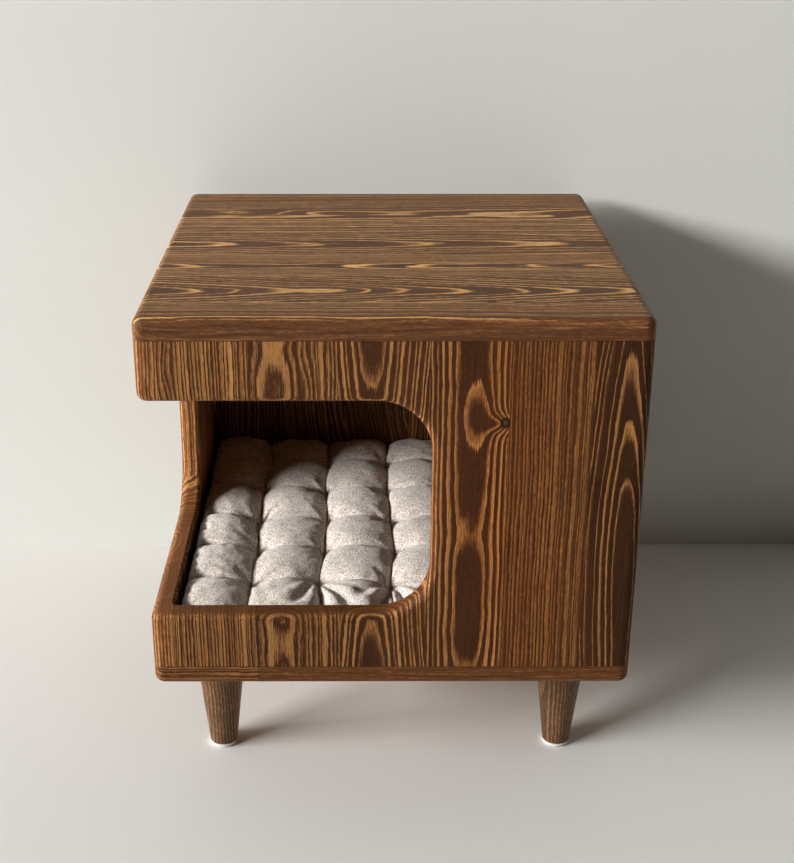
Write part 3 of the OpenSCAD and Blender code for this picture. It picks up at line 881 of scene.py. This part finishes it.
def seam_stitches(mesh, seam):
    """Running stitches along the seam, all round the cushion."""
    ring = sorted((mesh.vertices[index].co.to_tuple() for index in seam),
                  key=lambda at: math.atan2(at[1], at[0]))
    ring = np.array(ring + ring[:1])
    run = np.concatenate([[0], np.cumsum(np.linalg.norm(np.diff(ring, axis=0), axis=1))])
    strands = []
    for start in np.arange(0, run[-1] - STITCH_PITCH, STITCH_PITCH):
        stops = start + STITCH_PITCH * np.array((0.0, 0.15, 0.35, 0.55, 0.7))
        path = np.stack([np.interp(stops, run, ring[:, axis]) for axis in range(3)], -1)
        along = path[-1] - path[0]
        outward = np.array((along[1], -along[0], 0.0)) / max(np.hypot(along[0], along[1]), 1e-9)
        path += outward * np.array((-0.8, 0.5, 0.9, 0.5, -0.8))[:, None] * MM
        strands.append(path.tolist())
    return strands


def add_cushion():
    mesh, tufts, seam = cushion_mesh()
    cushion = bpy.data.objects.new("cushion", mesh)
    scene.collection.objects.link(cushion)
    settle(cushion, tufts, seam)
    fit_in_cabin(cushion)
    mesh.polygons.foreach_set("use_smooth", [True] * len(mesh.polygons))
    mesh.materials.append(add_linen())
    smooth = cushion.modifiers.new("smooth", "SUBSURF")
    smooth.levels = smooth.render_levels = 1
    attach(cushion, "cushion")
    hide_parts("cushion_bottom_cover", "cushion_top_cover", "cushion_filling", "tufting_ties")

    thread = add_thread_material()
    strands = []
    for top, bottom in tufts:
        for index, up in ((top, Vector((0, 0, 1 * MM))), (bottom, Vector((0, 0, -1 * MM)))):
            middle = mesh.vertices[index].co.copy()
            strands.append(stitch(middle, Vector((3.2 * MM, 0.6 * MM, 0)), up))
            strands.append(stitch(middle, Vector((-0.5 * MM, 2.6 * MM, 0)), up * 1.3))
    add_threads("tuft_threads", strands, thread)
    add_threads("seam_threads", seam_stitches(mesh, seam), thread)


add_cushion()

# ---------------------------------------------------------------- camera, light and stage

IMAGE_W, IMAGE_H = 794, 863
FOCAL_PX = 1382.1
CAMERA_AT = Vector((-0.0264, -1.3373, 0.8494))
CAMERA_DOWN = math.radians(22.40)
CAMERA_YAW = math.radians(-0.14)
OPTICAL_CENTRE_PX = Vector((366.7, 405.2))
SENSOR_MM = 36.0
DAYLIGHT = (1.0, 0.992, 0.97)
WINDOW_DISTANCE = 12.0
FILL_DISTANCE = 3.0
FILL_SIZE = (2.0, 2.0)
WALL_GAP = 0.025
STAGE_HALF = 4.0
WALL_HEIGHT = 3.0


def add_camera():
    data = bpy.data.cameras.new("camera")
    data.sensor_fit = "VERTICAL"
    data.sensor_height = SENSOR_MM
    data.lens = FOCAL_PX / IMAGE_H * SENSOR_MM
    data.shift_x = (IMAGE_W / 2 - OPTICAL_CENTRE_PX.x) / IMAGE_H
    data.shift_y = -(IMAGE_H / 2 - OPTICAL_CENTRE_PX.y) / IMAGE_H
    camera = bpy.data.objects.new("camera", data)
    camera.location = CAMERA_AT
    camera.rotation_euler = (math.pi / 2 - CAMERA_DOWN, 0, CAMERA_YAW)
    scene.collection.objects.link(camera)
    scene.camera = camera


def add_area_light(name, direction, distance, size, power, colour):
    """A rectangular light that faces the cabinet from the given direction."""
    data = bpy.data.lights.new(name, "AREA")
    data.shape = "RECTANGLE"
    data.size, data.size_y = size
    data.energy = power
    data.color = colour
    light = bpy.data.objects.new(name, data)
    aim = Vector((0, 0, TOP_Z / 2))
    light.location = aim + Vector(direction).normalized() * distance
    light.rotation_euler = (aim - light.location).to_track_quat("-Z", "Y").to_euler()
    scene.collection.objects.link(light)
    return light


def add_fill(name, direction, power):
    """A soft light for a side that faces away from the window. It lights only the object, from
    lower than the top board, and the wall and floor don't block it. The glides stay out of it,
    because they would throw it on the floor."""
    light = add_area_light(name, direction, FILL_DISTANCE, FILL_SIZE, power, (1.0, 0.985, 0.96))
    light.visible_glossy = False
    linking = light.light_linking
    linking.receiver_collection, linking.blocker_collection = without_glides, whole_object


def flat_quad(name, corners, material):
    mesh = bpy.data.meshes.new(name)
    mesh.from_pydata(corners, [], [(0, 1, 2, 3)])
    mesh.materials.append(material)
    quad = bpy.data.objects.new(name, mesh)
    scene.collection.objects.link(quad)


def pale_paint(name, colour):
    """Matt paint, clear from the back of its surface."""
    material, graph = new_material(name)
    at = graph.coordinates()
    mottle = graph.noise(at, scale=3.0, detail=3.0)
    shade = graph.mix(mottle, [c * 0.985 for c in colour], colour)
    fine = graph.noise(at, scale=900.0, detail=2.0)
    paint = graph.principled(shade, 0.8, graph.bump(fine, 0.05, 0.5 * MM), Specular_IOR_Level=0.25)
    clear = graph.node("ShaderNodeBsdfTransparent").outputs[0]
    behind = graph.node("ShaderNodeNewGeometry").outputs["Backfacing"]
    one_sided = graph.node("ShaderNodeMixShader", {0: behind, 1: paint, 2: clear})
    graph.output(one_sided.outputs[0])
    return material


def add_stage():
    """The floor and the wall behind the cabinet. Seen from their backs, they are clear."""
    half, far = STAGE_HALF, HALF + WALL_GAP
    flat_quad("floor", [(-half, -half, 0), (half, -half, 0), (half, half, 0), (-half, half, 0)],
              pale_paint("floor_paint", (0.77, 0.76, 0.74)))
    flat_quad("wall", [(-half, far, 0), (half, far, 0), (half, far, WALL_HEIGHT),
                       (-half, far, WALL_HEIGHT)],
              pale_paint("wall_paint", (0.735, 0.745, 0.715)))


def add_world():
    """Pale where the camera sees it, and nearly dark to everything else."""
    world = bpy.data.worlds.new("world")
    scene.world = world
    world.use_nodes = True
    tree = world.node_tree
    dim = tree.nodes["Background"]
    dim.inputs["Color"].default_value = (1.0, 0.98, 0.91, 1.0)
    dim.inputs["Strength"].default_value = 0.012
    backdrop = tree.nodes.new("ShaderNodeBackground")
    backdrop.inputs["Color"].default_value = (0.60, 0.60, 0.59, 1.0)
    seen = tree.nodes.new("ShaderNodeMixShader")
    path = tree.nodes.new("ShaderNodeLightPath")
    tree.links.new(path.outputs["Is Camera Ray"], seen.inputs[0])
    tree.links.new(dim.outputs[0], seen.inputs[1])
    tree.links.new(backdrop.outputs[0], seen.inputs[2])
    tree.links.new(seen.outputs[0], tree.nodes["World Output"].inputs["Surface"])


def add_lights():
    add_area_light("window", (-1.0, -0.43, 0.35), WINDOW_DISTANCE, (6.6, 2.0), 2280.0, DAYLIGHT)
    add_area_light("far_window", (-1.0, -0.08, 0.32), WINDOW_DISTANCE, (3.0, 2.0), 420.0, DAYLIGHT)
    add_area_light("ceiling", (0.05, 0.02, 1.0), 2.6, (3.0, 0.4), 4.5, (1.0, 0.98, 0.93))
    add_fill("back_fill", (-0.35, 1.0, -0.40), 25.0)
    add_fill("right_fill", (1.0, 0.8, -0.55), 40.0)
    add_fill("under_fill", (0.1, 0.2, -1.0), 26.0)


scene.view_settings.view_transform = "Standard"
whole_object = bpy.data.collections.new("whole_object")
without_glides = bpy.data.collections.new("without_glides")
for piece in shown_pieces():
    whole_object.objects.link(piece)
    if not piece.name.startswith("glide"):
        without_glides.objects.link(piece)
add_camera()
add_stage()
add_world()
add_lights()
